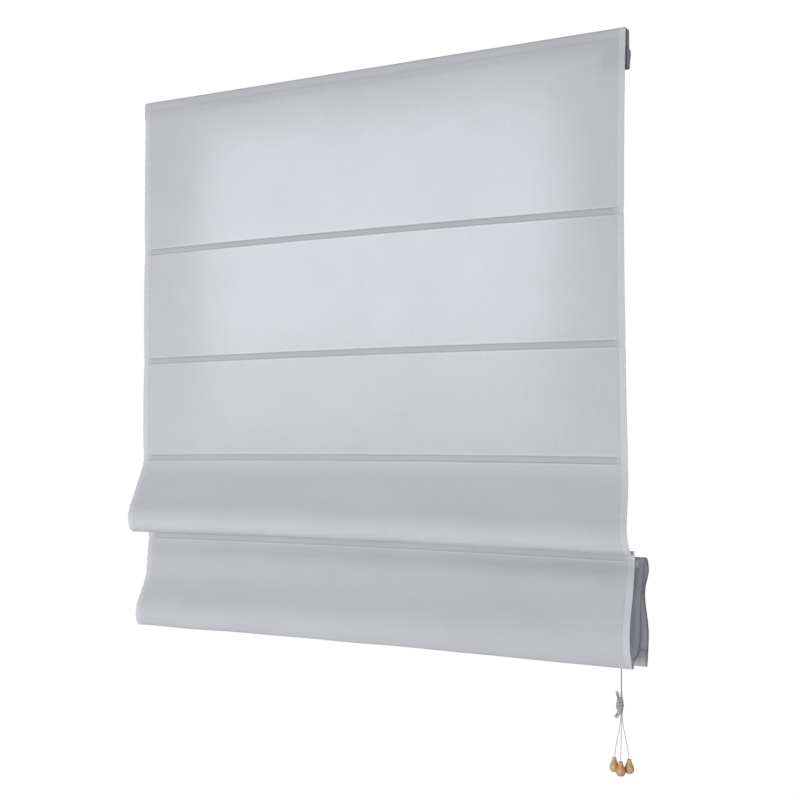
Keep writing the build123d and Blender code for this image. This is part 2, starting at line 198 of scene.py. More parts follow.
# ---- material helper -----------------------------------------
class Finish:
    """A material built node by node. A link is (node, output name)."""

    def __init__(self, name):
        self.material = bpy.data.materials.new(name)
        self.material.use_nodes = True
        self.tree = self.material.node_tree
        self.tree.nodes.clear()
        self.output = self.tree.nodes.new("ShaderNodeOutputMaterial")

    def node(self, kind, inputs=None, **settings):
        made = self.tree.nodes.new(kind)
        for key, value in settings.items():
            setattr(made, key, value)
        for key, value in (inputs or {}).items():
            if isinstance(value, tuple) and isinstance(value[0], bpy.types.Node):
                self.tree.links.new(value[0].outputs[value[1]], made.inputs[key])
            else:
                made.inputs[key].default_value = value
        return made

    def math(self, operation, a, b=None, c=None, clamp=False):
        inputs = {k: value for k, value in enumerate((a, b, c)) if value is not None}
        made = self.node("ShaderNodeMath", inputs, operation=operation, use_clamp=clamp)
        return (made, "Value")

    def add(self, a, b):
        return self.math("ADD", a, b)

    def times(self, a, b):
        return self.math("MULTIPLY", a, b)

    def times_add(self, a, b, c, clamp=False):
        return self.math("MULTIPLY_ADD", a, b, c, clamp)

    def range(self, value, low, high, to_low, to_high, smooth=False):
        made = self.node(
            "ShaderNodeMapRange",
            {"Value": value, "From Min": low, "From Max": high, "To Min": to_low, "To Max": to_high},
            interpolation_type="SMOOTHSTEP" if smooth else "LINEAR",
        )
        return (made, "Result")

    def vary(self, noise, to_low, to_high):
        """The usual spread of a noise, mapped to a range."""
        return self.range(noise, 0.3, 0.7, to_low, to_high)

    def noise(self, vector, scale, detail=3.0, roughness=0.55, stretch=(1, 1, 1)):
        mapping = self.node("ShaderNodeMapping", {"Vector": vector, "Scale": stretch})
        made = self.node(
            "ShaderNodeTexNoise",
            {"Vector": (mapping, "Vector"), "Scale": scale, "Detail": detail, "Roughness": roughness},
        )
        return (made, "Fac")

    def mix_colour(self, factor, a, b, blend="MIX"):
        made = self.tree.nodes.new("ShaderNodeMix")
        made.data_type = "RGBA"
        made.blend_type = blend
        for socket, value in ((made.inputs[0], factor), (made.inputs[6], a), (made.inputs[7], b)):
            if isinstance(value, tuple) and isinstance(value[0], bpy.types.Node):
                self.tree.links.new(value[0].outputs[value[1]], socket)
            else:
                socket.default_value = value
        return (made, 2)

    def grey(self, shade):
        return (self.node("ShaderNodeCombineXYZ", {"X": shade, "Y": shade, "Z": shade}), "Vector")

    def shaded(self, base, shade):
        return self.mix_colour(1.0, base, self.grey(shade), "MULTIPLY")

    def bump(self, height, strength):
        inputs = {"Height": height, "Strength": strength, "Distance": 1.0}
        return (self.node("ShaderNodeBump", inputs), "Normal")

    def principled(self, colour, rough, normal=None, **more):
        inputs = {"Base Color": colour, "Roughness": rough}
        if normal:
            inputs["Normal"] = normal
        inputs.update({key.replace("_", " "): value for key, value in more.items()})
        return self.node("ShaderNodeBsdfPrincipled", inputs)

    def finish(self, shader, output="BSDF"):
        self.tree.links.new(shader.outputs[output], self.output.inputs["Surface"])
        return self.material


def position(finish):
    """Where on the piece, in metres, at rest."""
    return (finish.node("ShaderNodeTexCoord"), "Object")


# ---- cords first: routes repeat part.py's, in metres ---------
CORD_R = 0.0007
PULL_X = middle("cord_knot").x
PULL_BACK = 0.0333       # the pull cords end this far behind the lock's outlet
TAIL_LENGTHS = (0.0995, 0.1022, 0.0993)
KNOT_LOW, KNOT_HIGH = (corner.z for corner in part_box("cord_knot"))
KNOT_Y = middle("cord_knot").y
CORD_Y = {side: KNOT_Y - PULL_BACK + shift for side, shift in zip(SIDES, (-0.0018, 0.0, 0.0018))}
RUN_Z = -0.020           # where the cords run inside the rail
STACK_EDGE_Z = -1.025    # where the pull cords pass behind the folded stack
LIFT_X = {"left": -0.450, "centre": 0.0, "right": 0.450}
LIFT_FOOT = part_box("lift_cord_centre")[0].z
ACORN_HIGH = {side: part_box(f"acorn_{side}")[1].z for side in TAILS}


def cord_mesh(name, line, radius=CORD_R, sides=10):
    """A round cord along a line, with its run and angle kept for the braid."""
    vertices, faces = tube_geometry(line, radius, sides)
    obj = mesh_object(name, vertices, faces)
    run = distances(line)
    around = np.arange(sides) / sides
    values = [(s, math.cos(2 * math.pi * a), math.sin(2 * math.pi * a)) for s in run for a in around]
    float_vectors(obj, "braid", values)
    flatten_ends(obj)
    return obj


def pull_route(side):
    """From the lock down over the back of the stack to the knot."""
    y = CORD_Y[side]
    back = y + PULL_BACK
    return [
        (PULL_X, y, LOCK_LOW),
        (PULL_X, y, LOCK_LOW - 0.020),
        (PULL_X, back - 0.0011, STACK_EDGE_Z + 0.030),
        (PULL_X, back, STACK_EDGE_Z),
        (PULL_X, back, STACK_EDGE_Z - 0.030),
        (PULL_X, back, KNOT_HIGH),
    ]


def tail_route(side, start_shift):
    """From the knot into the bore of one acorn."""
    acorn = middle(f"acorn_{side}")
    top = ACORN_HIGH[side]
    return [
        (PULL_X + start_shift, KNOT_Y, KNOT_LOW),
        (PULL_X + start_shift, KNOT_Y, KNOT_LOW - 0.010),
        (acorn.x, acorn.y, top + 0.009),
        (acorn.x, acorn.y, top - 0.019),
    ]


pull_cords, pull_lines, tails, tail_lines = {}, {}, {}, {}
for side in SIDES:
    pull_lines[side] = densify(nurbs_points(pull_route(side)), 0.006)
    pull_cords[side] = cord_mesh(f"pull_line_{side}", pull_lines[side])
for side, shift in zip(TAILS, (-0.0018, 0.0, 0.0018)):
    tail_lines[side] = densify(nurbs_points(tail_route(side, shift)), 0.003)
    tails[side] = cord_mesh(f"tail_line_{side}", tail_lines[side])


# ---- the lift cords: a run along the rail, then one stretch for each row 
def lift_pieces(side):
    x, y = LIFT_X[side], CORD_Y[side]
    bend = 6 * 2 * CORD_R
    rail_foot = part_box("headrail")[0].z
    run = [
        (x, y, rail_foot),
        (x, y, RUN_Z - bend),
        (x, y, RUN_Z),
        (x + bend, y, RUN_Z),
        (PULL_X - bend, y, RUN_Z),
        (PULL_X, y, RUN_Z),
        (PULL_X, y, RUN_Z - bend),
        (PULL_X, y, LOCK_LOW),
    ]
    top = cord_mesh(f"lift_run_{side}", densify(nurbs_points(run), 0.02))
    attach(top, "rail")
    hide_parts(f"lift_cord_{side}")
    made = [top]
    levels = [rail_foot, BATTEN_Z[1], BATTEN_Z[2], BATTEN_Z[3], BATTEN_Z[4]]
    for k in range(4):
        line = densify([(x, y, levels[k]), (x, y, levels[k + 1])], 0.01)
        piece = cord_mesh(f"lift_line_{side}_{k + 1}", line)
        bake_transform(piece)
        made.append(piece)
    line = densify([(x, y, BATTEN_Z[4]), (x, y, LIFT_FOOT)], 0.003)
    last = cord_mesh(f"lift_line_{side}_5", line)
    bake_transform(last)
    return made + [last]


lift_cords = [piece for side in SIDES for piece in lift_pieces(side)]


# ---- the shortening knot -------------------------------------
def knot_strand(points):
    """One strand of the knot, from points in millimetres about the knot's middle."""
    centre = Vector((PULL_X, KNOT_Y, (KNOT_LOW + KNOT_HIGH) / 2))
    return nurbs_points([centre + Vector(p) * MM for p in points], 10)


# slack doubled back on itself, its loops left standing out at the ends: millimetres about the middle
KNOT_LOOPS = [
    [
        (-3.0, -2.6, -15), (-3.6, -3.0, 0), (-4.2, -3.0, 14), (-6.2, -3.4, 21),
        (-7.6, -2.8, 25.5), (-5.6, -2.0, 28.0), (-4.6, -1.6, 24), (-4.0, -1.6, 15),
        (-3.6, -2.0, 3), (-2.8, -2.4, -12),
    ],
    [
        (-4.6, -1.2, -13), (-5.2, -0.8, 2), (-5.4, -0.4, 15), (-6.8, 0.4, 20.5),
        (-7.0, 1.2, 23.5), (-5.0, 1.4, 24.5), (-4.2, 1.2, 20), (-4.0, 0.8, 12), (-3.8, 0.6, 0),
        (-3.2, 0.4, -10),
    ],
    [
        (1.6, -2.2, 14), (1.2, -2.8, 0), (-0.8, -3.6, -14), (-4.2, -4.4, -20),
        (-7.6, -4.4, -25.0), (-9.4, -3.4, -24.0), (-8.4, -2.4, -20.0), (-5.6, -1.8, -15.5),
        (-3.4, -1.0, -6), (-2.8, 1.6, 6),
    ],
    [
        (0.8, 2.2, 13), (0.6, 2.6, 0), (-1.2, 2.2, -13), (-4.2, 1.2, -20.5), (-6.2, 0.0, -26.5),
        (-7.8, -0.8, -27.5), (-8.4, -0.8, -24.6), (-6.4, 0.4, -18), (-4.2, 2.0, -6),
        (-2.6, 2.8, 8),
    ],
]


def make_knot():
    half = (KNOT_HIGH - KNOT_LOW) / 2 / MM
    strands = []
    # the three cords pass through, side by side
    for dx, dy, y in ((-1.8, 0.4, -1.8), (0.0, 0.0, 0.0), (1.8, -0.4, 1.8)):
        strands.append([(0.0, y, half), (dx * 0.5, y * 0.6, half - 5), (dx, dy, half - 12), (dx, dy, 0),
                        (dx, dy, -half + 10), (dx, 0, -half)])
    strands += [list(loop) for loop in KNOT_LOOPS]
    # the doubled slack bulks out to the side away from the cords
    for strand in strands[3:]:
        strand[:] = [(1.30 * x - 0.6, 1.35 * y, z) for x, y, z in strand]
        strands.append([(x + 1.0, y - 1.1, 0.93 * z - 1.5) for x, y, z in strand])
    # the wraps that hold it: one close layer, and a shorter, looser one over its middle
    rng = np.random.default_rng(11)
    for turns, high, low, size in ((11, 14.0, -13.5, 5.6), (5, 6.0, -7.5, 7.0)):
        wraps = []
        for k in range(turns * 12 + 1):
            a = 2 * math.pi * k / 12
            share = k / (turns * 12)
            swell = size + 0.8 * math.sin(math.pi * share) + rng.uniform(-0.12, 0.12)
            wraps.append((-3.0 + swell * math.cos(a), swell * 0.86 * math.sin(a),
                          high + (low - high) * share + 1.1 * math.cos(a) + 0.4 * math.sin(2.3 * a)))
        strands.append([(-1.0, 1.0, high + 5)] + wraps + [(-0.6, 1.6, low - 4)])
    parts, values = [], []
    for strand in strands:
        line = knot_strand(strand)
        vertices, faces = tube_geometry(line, CORD_R, 8)
        parts.append((vertices, faces))
        run = distances(line)
        angles = [math.pi * j / 4 for j in range(8)]
        values += [(s, math.cos(a), math.sin(a)) for s in run for a in angles]
    vertices, faces = join_geometry(parts)
    knot = mesh_object("shortening_knot", vertices, faces)
    float_vectors(knot, "braid", values)
    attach(knot, "pull")
    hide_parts("cord_knot")
    return knot


knot = make_knot()

for side in SIDES:
    cord = pull_cords[side]
    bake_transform(cord)
    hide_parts(f"pull_cord_{side}")
for side, length in zip(TAILS, TAIL_LENGTHS):
    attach(tails[side], "pull")
    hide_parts(f"pull_tail_{side}")


# ---- cloth ---------------------------------------------------
HEM = 0.014
BAND = 0.0062            # half the height of a batten's sewn band
TOP_HEM = 0.020
STATIONS = {0: 0.0, 1: 0.3645, 2: 0.6275, 3: 0.8585}   # of the battens along the cut, from its top
BATTEN_BOW = 0.0035      # the battens stand this much higher midway than at their ends
BATTEN_4_DROP = 1.0440   # its middle's height in the cloth, below the cloth's top
BATTEN_4_TILT = 0.0033   # how far it drops to the right, for each metre
BATTEN_5_RISE, BATTEN_5_TILT = 0.0042, 0.0048
EDGE_DRAW = 0.0016       # share of the width that the sides draw in at a batten
FINE_REACH = 0.011       # fine rows of the grid, either side of a band
PANEL_STEP, FOLD_STEP = 0.005, 0.0035    # rows of the grid elsewhere
RETURN_SEAM = 0.036      # batten 6's seam, ahead of the return layer's end
BAR_SEAM = 0.0575        # the bar hem's seam, ahead of the cloth's end
PUCKER_PITCH, PUCKER = 0.017, 0.0004


def basis(count, t, degree=3):
    """Weights of a clamped uniform B-spline's control points at parameters t in 0..1."""
    knots = np.concatenate([np.zeros(degree), np.linspace(0, 1, count - degree + 1), np.ones(degree)])
    t = np.clip(np.asarray(t, float), 0, 1 - 1e-9)
    table = np.array([(knots[i] <= t) & (t < knots[i + 1]) for i in range(len(knots) - 1)], float).T
    for p in range(1, degree + 1):
        new = np.zeros((len(t), table.shape[1] - 1))
        for i in range(new.shape[1]):
            a = knots[i + p] - knots[i]
            b = knots[i + p + 1] - knots[i + 1]
            if a > 0:
                new[:, i] += (t - knots[i]) / a * table[:, i]
            if b > 0:
                new[:, i] += (knots[i + p + 1] - t) / b * table[:, i + 1]
        table = new
    return table


def columns():
    """Positions across the cloth, closer together at the side hems."""
    fine = [0, 0.0008, 0.002, 0.005, 0.008, 0.011, 0.013, 0.0145, 0.016, 0.019]
    half = HALF_WIDTH
    inner = np.linspace(-half + 0.024, half - 0.024, 225)
    return np.concatenate([[-half + f for f in fine], inner, [half - f for f in reversed(fine)]])


def rows(length, fine_zones, coarse):
    """Positions along the cut, a millimetre or so apart inside the fine zones."""
    out, x = [0.0], 0.0
    while x < length - 1e-9:
        near = any(a - 0.002 <= x <= b + 0.002 for a, b in fine_zones)
        x = min(length, x + (0.0011 if near else coarse))
        for a, _ in fine_zones:
            if out[-1] + 0.0003 < a - 0.002 < x:
                x = a - 0.002
        out.append(x)
    if len(out) > 2 and out[-1] - out[-2] < 0.0004:
        out.pop(-2)
    return np.array(out)


def waves(seed, u, t, wavelength):
    """Smooth random relief between about -1 and 1."""
    rng = np.random.default_rng(seed)
    total = np.zeros(np.broadcast(u, t).shape)
    for _ in range(7):
        a = rng.uniform(0, 2 * math.pi, 2)
        length = wavelength * rng.uniform(0.6, 1.8)
        along = np.cos(math.pi * t * rng.uniform(0.4, 2.2) + a[1])
        total = total + np.sin(2 * math.pi * u / length + a[0]) * along
    return total / 3.2


def thicken(name, surface, normal, thickness, cut_values):
    """A closed sheet about a grid of points, with its place on the cut kept for the material."""
    nu, nv = surface.shape[:2]
    front = surface + normal * thickness / 2
    back = surface - normal * thickness / 2
    vertices = np.concatenate([front.reshape(-1, 3), back.reshape(-1, 3)])
    i, j = np.meshgrid(np.arange(nu - 1), np.arange(nv - 1), indexing="ij")
    a = (i * nv + j).ravel()
    near = np.stack([a, a + 1, a + nv + 1, a + nv], axis=1)
    far = near[:, ::-1] + nu * nv
    rim = []
    sides = ((0, 1, nv - 1), ((nu - 1) * nv, 1, nv - 1), (0, nv, nu - 1), (nv - 1, nv, nu - 1))
    for start, step, number in sides:
        p = start + step * np.arange(number)
        rim.append(np.stack([p, p + step, p + step + nu * nv, p + nu * nv], axis=1))
    faces = np.concatenate([near, far, *rim])
    mesh = bpy.data.meshes.new(name)
    mesh.from_pydata(vertices.tolist(), [], faces.tolist())
    turned = bmesh.new()
    turned.from_mesh(mesh)
    bmesh.ops.recalc_face_normals(turned, faces=turned.faces)
    turned.to_mesh(mesh)
    turned.free()
    smooth = np.ones(len(faces), bool)
    smooth[len(near) * 2:] = False
    mesh.polygons.foreach_set("use_smooth", smooth)
    obj = bpy.data.objects.new(name, mesh)
    bpy.context.scene.collection.objects.link(obj)
    values = cut_values.reshape(-1, 3)
    float_vectors(obj, "cut", np.concatenate([values, values]))
    return obj


def surface_normals(surface):
    normal = np.cross(np.gradient(surface, axis=1), np.gradient(surface, axis=0))
    return normal / np.linalg.norm(normal, axis=-1, keepdims=True)


def lay_cloth(name, left, right, cut_start, seed, uneven, relief, bow=(1.0, 1.0), coarse=PANEL_STEP,
              before=-BAND, after=BAND, ridge_height=0.0006):
    """A strip of cloth between two sections. left and right are lists of control points
    (millimetres forward of the blind's plane, metres below the cloth's top, millimetres along X).
    before and after place its batten bands: so far after its start, so far ahead of its end."""
    left, right = np.array(left, float), np.array(right, float)
    count = len(left)
    u = columns()
    s = (u + HALF_WIDTH) / (2 * HALF_WIDTH)
    controls = left[None] * (1 - s)[:, None, None] + right[None] * s[:, None, None]
    mean = (left + right) / 2
    # seeded unevenness along the width, none at the strip's two held ends
    share = np.linspace(0, 1, count)
    held = np.clip(np.minimum(np.arange(count), count - 1 - np.arange(count)) / 3.0, 0, 1) ** 1.5
    controls[:, :, 0] += uneven * held * waves(seed, u[:, None], share[None, :], 0.55)
    controls[:, :, 1] += 0.25 * MM * uneven * held * waves(seed + 50, u[:, None], share[None, :], 0.8)
    arch = BATTEN_BOW * (1 - (u / HALF_WIDTH) ** 2)
    controls[:, :, 1] += arch[:, None] * (bow[0] + (bow[1] - bow[0]) * share)[None, :]
    # rows at even lengths along the mean section
    dense = np.linspace(0, 1, 1500)
    line = basis(count, dense) @ np.column_stack([mean[:, 0] * MM, mean[:, 1]])
    run = distances(line)
    length = run[-1]
    bands = [] if before is None else [before]
    bands += [] if after is None else [length - after]
    zones = [(place - FINE_REACH, place + FINE_REACH) for place in bands]
    if cut_start == 0:
        zones.append((TOP_HEM - 0.003, TOP_HEM + 0.003))
    zones.sort()
    at = rows(length, zones, coarse)
    weights = basis(count, np.interp(at, run, dense))
    grid = np.einsum("rc,ucd->urd", weights, controls)
    v = cut_start + at
    offset = at[:, None] - np.array(bands)[None, :]
    nearest = offset[np.arange(len(v)), np.abs(offset).argmin(axis=1)]
    # the side edges draw in a little at each batten
    draw = 1 - EDGE_DRAW * np.exp(-(nearest / 0.02) ** 2)
    x = u[:, None] * draw[None, :] + grid[:, :, 2] * MM
    # the hems' stitching puckers the edges a little
    at_edge = 1 - smoothstep(0.0, 0.030, HALF_WIDTH - np.abs(u))
    pucker = np.sin(2 * math.pi * v / PUCKER_PITCH + 1.5 * np.sin(v * 41.0))
    pucker = pucker * (0.6 + 0.4 * np.sin(v * 97.0))
    x = x + np.sign(u)[:, None] * at_edge[:, None] * 0.00035 * pucker[None, :]
    y = (CLOTH_FRONT + CLOTH_BACK) / 2 - grid[:, :, 0] * MM
    z = CLOTH_TOP + grid[:, :, 1]
    middle_surface = np.stack([x, y, z], axis=-1)
    normal = surface_normals(middle_surface)
    # sewn relief: the batten's ridge, the stitch grooves beside it, the doubled hems
    ridge = ridge_height * (1 - smoothstep(0.0028, 0.0062, np.abs(nearest)))
    sewn = ridge - 0.00035 * np.exp(-(((np.abs(nearest) - BAND) / 0.0011) ** 2))
    if cut_start == 0:
        sewn = sewn - 0.00035 * np.exp(-(((v - TOP_HEM) / 0.0013) ** 2))
    edge = HALF_WIDTH - np.abs(u)
    doubled = 0.0003 * (1 - smoothstep(HEM - 0.0008, HEM + 0.0012, edge))
    doubled = doubled - 0.00025 * np.exp(-(((edge - HEM) / 0.0012) ** 2))
    slack = relief * MM * waves(seed + 90, u[:, None], (v * 6)[None, :], 0.23)
    fade = 1 - np.exp(-(nearest / 0.03) ** 2)
    inside = smoothstep(0.0185, 0.0225, edge)
    shift = sewn[None, :] * inside[:, None] + doubled[:, None] + slack * fade[None, :]
    shift = shift + PUCKER * at_edge[:, None] * pucker[None, :]
    middle_surface = middle_surface + normal * shift[..., None]
    cut_values = np.stack(np.broadcast_arrays(u[:, None], v[None, :], nearest[None, :]), axis=-1)
    obj = thicken(name, middle_surface, normal, CLOTH_THICK, cut_values)
    return obj, length


# Sections of the cloth at its left and right sides:
# millimetres forward of the blind's plane, metres below the cloth's top, millimetres along X.
def straight(low, high, bulge, shift=(0.0, 0.0)):
    """The panel from station high down to station low, a little slack between its battens."""
    top = -STATIONS[high] - (BAND if high else 0)
    foot = -STATIONS[low] - BAND
    span = top - foot
    places = [
        (0.0, top), (0.2, top - 0.012), (0.55 * bulge, top - 0.10 * span),
        (1.10 * bulge, top - 0.30 * span), (1.25 * bulge, top - 0.55 * span),
        (0.80 * bulge, top - 0.80 * span), (0.2, foot + 0.034),
        (0.0, foot + 0.018), (0.0, foot + 0.008), (0.0, foot),
    ]
    return [(d, z, shift[0] + (shift[1] - shift[0]) * (top - z) / span) for d, z in places]


CUT_B3 = STATIONS[3] + BAND
FOLD_LEFT = [
    (0, -0.8648, 0), (1, -0.872, 0), (5, -0.885, 1), (15, -0.901, 2), (31, -0.924, 5),
    (50, -0.953, 10), (72, -0.98, 15), (79, -1.003, 18), (72, -1.027, 19), (54, -1.033, 19),
    (27, -1.027, 19), (9, -1.027, 19), (2, -1.034, 18), (0, -1.042, 18), (0, -1.049, 18),
]
FOLD_RIGHT = [
    (0, -0.8648, 4), (1, -0.872, 4), (5, -0.885, 5), (13, -0.902, 7), (28, -0.928, 11),
    (45, -0.958, 15), (62, -0.985, 19), (71, -1.008, 23), (66, -1.033, 28), (46, -1.04, 26),
    (24, -1.033, 20), (8, -1.032, 18), (1, -1.039, 17), (0, -1.046, 17), (0, -1.053, 17),
]
FRONT_LEFT = [
    (0, -1.049, 18), (0, -1.056, 18), (2, -1.068, 18), (6, -1.085, 18), (7, -1.11, 19),
    (12, -1.14, 20), (28, -1.168, 21), (46, -1.196, 22), (54, -1.22, 22), (50, -1.24, 23),
    (44, -1.25, 23), (40, -1.2512, 23), (35, -1.248, 23), (33, -1.24, 23), (33, -1.23, 23),
]
FRONT_RIGHT = [
    (0, -1.053, 17), (1, -1.06, 17), (8, -1.072, 18), (18, -1.09, 19), (25, -1.118, 20),
    (37, -1.148, 20), (49, -1.176, 21), (55, -1.202, 22), (53, -1.228, 23), (47, -1.245, 23),
    (43, -1.2555, 23), (38, -1.2567, 23), (32, -1.254, 23), (30, -1.247, 23), (28, -1.24, 23),
]
RETURN_LEFT = [
    (33, -1.23, 23), (33, -1.22, 23), (30, -1.202, 24), (18, -1.175, 25), (2, -1.15, 26),
    (-10, -1.125, 27), (-20, -1.1, 27), (-26.8, -1.076, 27), (-26.8, -1.064, 27),
    (-26.8, -1.054, 27), (-28.5, -1.048, 27), (-33, -1.0475, 27), (-39, -1.048, 28),
    (-40.8, -1.052, 28), (-40.8, -1.0625, 28),
]
RETURN_RIGHT = [
    (28, -1.24, 23), (25, -1.238, 24), (14, -1.237, 25), (4, -1.224, 27), (-1, -1.198, 28),
    (-2, -1.164, 28), (-2, -1.135, 28), (-12, -1.108, 28), (-26, -1.086, 28),
    (-27.2, -1.074, 28), (-27.0, -1.058, 28), (-29, -1.0485, 28), (-35, -1.0478, 29),
    (-40.8, -1.052, 30), (-40.8, -1.0625, 31),
]
BACK_LEFT = [
    (-40.8, -1.0625, 28), (-40.8, -1.07, 28), (-38, -1.085, 29), (-30, -1.105, 31),
    (-29, -1.13, 33), (-34, -1.16, 34), (-38, -1.185, 34), (-34, -1.21, 34),
    (-32, -1.228, 34), (-32, -1.245, 34), (-32, -1.2513, 34), (-30, -1.2535, 34),
    (-28, -1.2513, 34), (-27.9, -1.243, 34), (-27.9, -1.228, 34),
]
BACK_RIGHT = [
    (-40.8, -1.0625, 31), (-40.0, -1.07, 33), (-36, -1.085, 32), (-27, -1.102, 29),
    (-24, -1.125, 28), (-30, -1.155, 30), (-37, -1.185, 32), (-33, -1.215, 33),
    (-32, -1.235, 33), (-32, -1.25, 31), (-32, -1.26, 30), (-30, -1.263, 30),
    (-28, -1.26, 30), (-27.9, -1.248, 31), (-27.9, -1.23, 31),
]

panel_1, _ = lay_cloth(
    "cloth_panel_1", straight(1, 0, 1.4), straight(1, 0, 3.0, (4.5, -1.5)), 0.0, 3, 0.5, 0.4,
    bow=(0, 1), before=None)
panel_2, _ = lay_cloth(
    "cloth_panel_2", straight(2, 1, 1.4), straight(2, 1, 3.0, (-1.5, 0.5)), STATIONS[1] + BAND,
    5, 0.5, 0.4)
panel_3, _ = lay_cloth(
    "cloth_panel_3", straight(3, 2, 1.4), straight(3, 2, 2.6, (0.5, 4.0)), STATIONS[2] + BAND,
    8, 0.5, 0.4)
fold, fold_length = lay_cloth(
    "cloth_fold", FOLD_LEFT, FOLD_RIGHT, CUT_B3, 12, 1.8, 0.8, coarse=FOLD_STEP)
CUT_4 = CUT_B3 + fold_length
front, front_length = lay_cloth(
    "cloth_front_layer", FRONT_LEFT, FRONT_RIGHT, CUT_4, 21, 1.6, 0.8, coarse=FOLD_STEP, after=None)
CUT_5 = CUT_4 + front_length
turned_back, return_length = lay_cloth(
    "cloth_return_layer", RETURN_LEFT, RETURN_RIGHT, CUT_5, 33, 0.5, 0.3, coarse=FOLD_STEP,
    before=None, after=RETURN_SEAM)
CUT_6 = CUT_5 + return_length
behind, back_length = lay_cloth(
    "cloth_back_layer", BACK_LEFT, BACK_RIGHT, CUT_6, 41, 0.5, 0.3, coarse=FOLD_STEP,
    before=None, after=BAR_SEAM, ridge_height=0.0)


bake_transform(panel_1)
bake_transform(panel_2)
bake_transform(panel_3)
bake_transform(fold)
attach(front, "stack")
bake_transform(turned_back)
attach(behind, "tail")
CLOTHS = {
    "fabric_panel_1": (panel_1, 0.372, "hung", ["headrail"]),
    "fabric_panel_2": (panel_2, 0.263, "hung", [panel_1]),
    "fabric_panel_3": (panel_3, 0.231, "hung", [panel_2]),
    "fabric_fold": (fold, fold_length, "folded", [panel_3]),
    "fabric_front_layer": (front, front_length, "folded", [fold]),
    "fabric_return_layer": (turned_back, return_length, "folded", [front]),
    "fabric_back_layer": (behind, back_length, "folded", [turned_back]),
}
for node, (piece, length, held, rests_on) in CLOTHS.items():
    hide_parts(node)


# ---- battens, their pockets and the rings' stitches ----------
POCKET_PROFILE = [
    (0.45, 7.5), (0.45, 6.6), (0.5, 5.6), (1.0, 4.6), (2.2, 4.1), (4.4, 4.05), (6.6, 3.2),
    (7.35, 1.4), (7.35, -1.4), (6.6, -3.2), (4.4, -4.05), (2.2, -4.1), (1.0, -4.6), (0.5, -5.6),
    (0.45, -6.6), (0.45, -7.5),
]
POCKET_CLOTH = 0.0005


def batten_level(number, x):
    """How far the batten stands above its CAD place at x."""
    bow = BATTEN_BOW * (1 - (x / HALF_WIDTH) ** 2)
    if number <= 3:
        return bow
    if number == 4:
        return CLOTH_TOP - BATTEN_4_DROP - BATTEN_Z[4] - BATTEN_4_TILT * x + bow
    if number == 5:
        return BATTEN_5_RISE - BATTEN_5_TILT * x
    return 0.0


def make_batten(number):
    low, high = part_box(f"batten_{number}")
    y = (low.y + high.y) / 2
    xs = np.linspace(low.x, high.x, 60)
    line = [(x, y, BATTEN_Z[number] + batten_level(number, x)) for x in xs]
    first, last = np.array(line[0]), np.array(line[-1])
    shoulders = [first + (np.array(line[1]) - first) * 0.03, last + (np.array(line[-2]) - last) * 0.03]
    line = [line[0], shoulders[0], *line[1:-1], shoulders[1], line[-1]]
    radii = np.full(len(line), BATTEN_R)
    radii[[0, -1]] = BATTEN_R * 0.8
    vertices, faces = tube_geometry(line, radii, 20)
    obj = mesh_object(f"batten_rod_{number}", vertices, faces)
    flatten_ends(obj)
    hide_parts(f"batten_{number}")
    return obj


def make_pocket(number, way):
    low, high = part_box(f"batten_pocket_{number}")
    face_y = low.y if way > 0 else high.y
    x = np.concatenate([[low.x], np.linspace(low.x + 0.003, high.x - 0.003, 130), [high.x]])
    profile = np.array(POCKET_PROFILE) * MM
    dense = np.linspace(0, 1, 52)
    section = basis(len(profile), dense) @ profile
    z0 = BATTEN_Z[number] + np.array([batten_level(number, place) for place in x])
    pucker = 0.00018 * waves(60 + number, x[:, None], dense[None, :] * 3, 0.05)
    surface = np.stack([
        np.repeat(x[:, None], len(dense), axis=1),
        face_y + way * (section[None, :, 0] + pucker),
        z0[:, None] + section[None, :, 1] * np.ones((len(x), 1)),
    ], axis=-1)
    run = distances(section)
    values = np.stack(np.broadcast_arrays(x[:, None], run[None, :], section[None, :, 1]), axis=-1)
    obj = thicken(f"pocket_{number}", surface, surface_normals(surface), POCKET_CLOTH, values)
    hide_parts(f"batten_pocket_{number}")
    return obj


def make_ring_thread(number, way):
    """A few whipped stitches that hold each cord ring to its pocket."""
    ring = middle(f"cord_rings_{number}")
    reach = (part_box(f"cord_rings_{number}")[1].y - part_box(f"cord_rings_{number}")[0].y) / 2 - 0.0008
    parts = []
    for x0 in LIFT_X.values():
        for shift in (-0.0011, 0.0, 0.0011):
            line = []
            for k in range(15):
                a = 2 * math.pi * k / 14
                line.append((
                    x0 + shift + 0.0002 * math.cos(a),
                    ring.y - way * (reach + 0.0006) + 0.0019 * math.cos(a),
                    ring.z + 0.0014 * math.sin(a),
                ))
            parts.append(tube_geometry(line, 0.00022, 6))
    obj = mesh_object(f"ring_thread_{number}", *join_geometry(parts))
    return obj


ROW_BODY = {1: "row_1", 2: "row_2", 3: "row_3", 4: "stack", 5: "stack", 6: "tail"}
rods, pockets, threads = [], [], []
for number, body in ROW_BODY.items():
    rod = make_batten(number)
    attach(rod, body)
    rods.append(rod)
    if number == 5:
        continue
    way = -1 if number == 6 else 1
    pocket = make_pocket(number, way)
    thread = make_ring_thread(number, way)
    for piece in (pocket, thread):
        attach(piece, body)
    pockets.append(pocket)
    threads.append(thread)


# ---- materials -----------------------------------------------
def cut_coordinates(f, name="cut"):
    attribute = f.node("ShaderNodeAttribute", attribute_name=name)
    parts = f.node("ShaderNodeSeparateXYZ", {0: (attribute, "Vector")})
    return (attribute, "Vector"), (parts, "X"), (parts, "Y"), (parts, "Z")


def line_at(f, value, place, width):
    """1 on a line at place, 0 beyond width."""
    away = f.math("ABSOLUTE", f.math("SUBTRACT", value, place))
    return f.range(away, 0.0, width, 1.0, 0.0, smooth=True)


